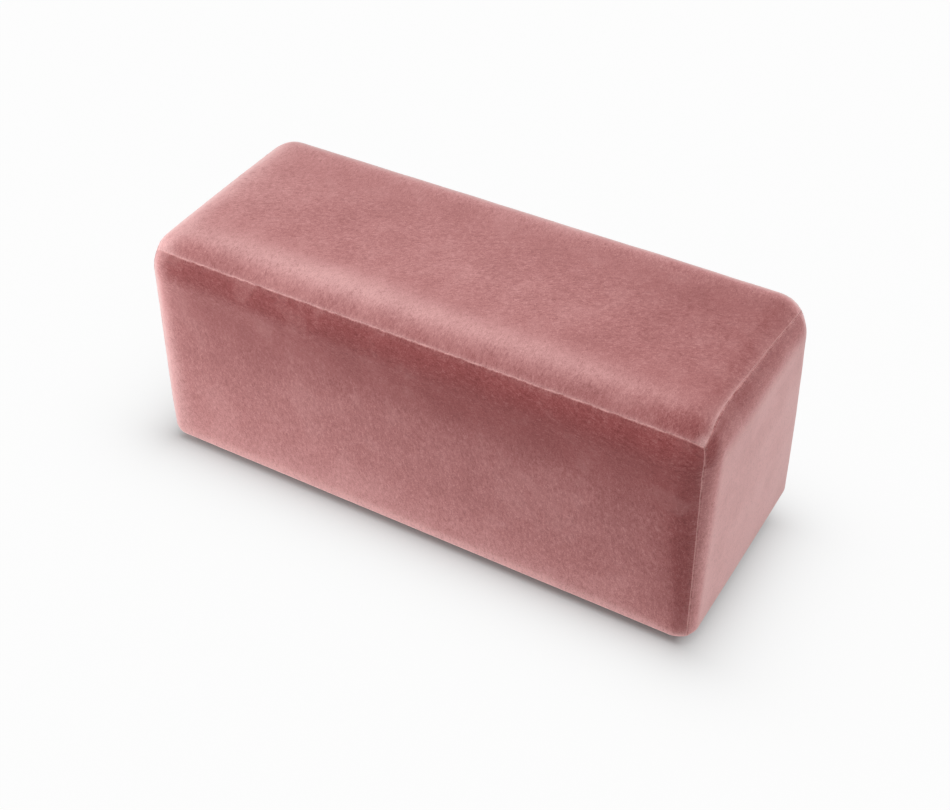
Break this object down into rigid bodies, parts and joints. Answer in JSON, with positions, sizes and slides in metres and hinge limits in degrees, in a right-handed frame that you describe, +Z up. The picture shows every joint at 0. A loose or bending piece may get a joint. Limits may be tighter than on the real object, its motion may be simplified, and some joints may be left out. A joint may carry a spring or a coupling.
{
  "type": "upholstered bench",
  "caption": "Rectangular upholstered bench covered all over in velvet, with rounded sewn edges, a padded crowned seat and low hidden glides.",
  "frame": {"origin": "on the floor, under the middle of the bench", "axes": "+X along the bench, +Y from its front to its rear, +Z up"},
  "size_m": [1.1, 0.45, 0.463],
  "materials": {
    "velvet": "short brushed pile, dusty rose",
    "wadding": "white polyester fibre fleece",
    "foam": "open-cell polyurethane foam",
    "hessian": "plain jute weave",
    "webbing": "ribbed elastic webbing with a light stripe",
    "dust_cloth": "black spun-bonded cloth",
    "hardboard": "smooth brown hardboard",
    "pine": "planed pine",
    "glide_plastic": "black moulded nylon",
    "nail_steel": "bright drawn wire",
    "steel_wire": "galvanised wire"
  },
  "bodies": {
    "root": {"board_front": "hardboard", "board_left": "hardboard", "board_rear": "hardboard", "board_right": "hardboard", "bottom_cross_rail_left": "pine", "bottom_cross_rail_right": "pine", "bottom_rail_front": "pine", "bottom_rail_left": "pine", "bottom_rail_rear": "pine", "bottom_rail_right": "pine", "corner_block_front_left": "pine", "corner_block_front_right": "pine", "corner_block_rear_left": "pine", "corner_block_rear_right": "pine", "corner_post_front_left": "pine", "corner_post_front_right": "pine", "corner_post_rear_left": "pine", "corner_post_rear_right": "pine", "cover_front": "velvet", "cover_left": "velvet", "cover_rear": "velvet", "cover_right": "velvet", "cover_top": "velvet", "dust_cover": "dust_cloth", "glide_nails": "nail_steel", "glides": "glide_plastic", "seat_cross_rail_left": "pine", "seat_cross_rail_right": "pine", "seat_foam": "foam", "seat_hessian": "hessian", "seat_wadding": "wadding", "side_foam_front": "foam", "side_foam_left": "foam", "side_foam_rear": "foam", "side_foam_right": "foam", "side_wadding": "wadding", "stud_front_left": "pine", "stud_front_right": "pine", "stud_rear_left": "pine", "stud_rear_right": "pine", "top_rail_front": "pine", "top_rail_left": "pine", "top_rail_rear": "pine", "top_rail_right": "pine", "webbing_crosswise": "webbing", "webbing_lengthwise": "webbing", "webbing_staples": "steel_wire"}
  },
  "joints": []
}
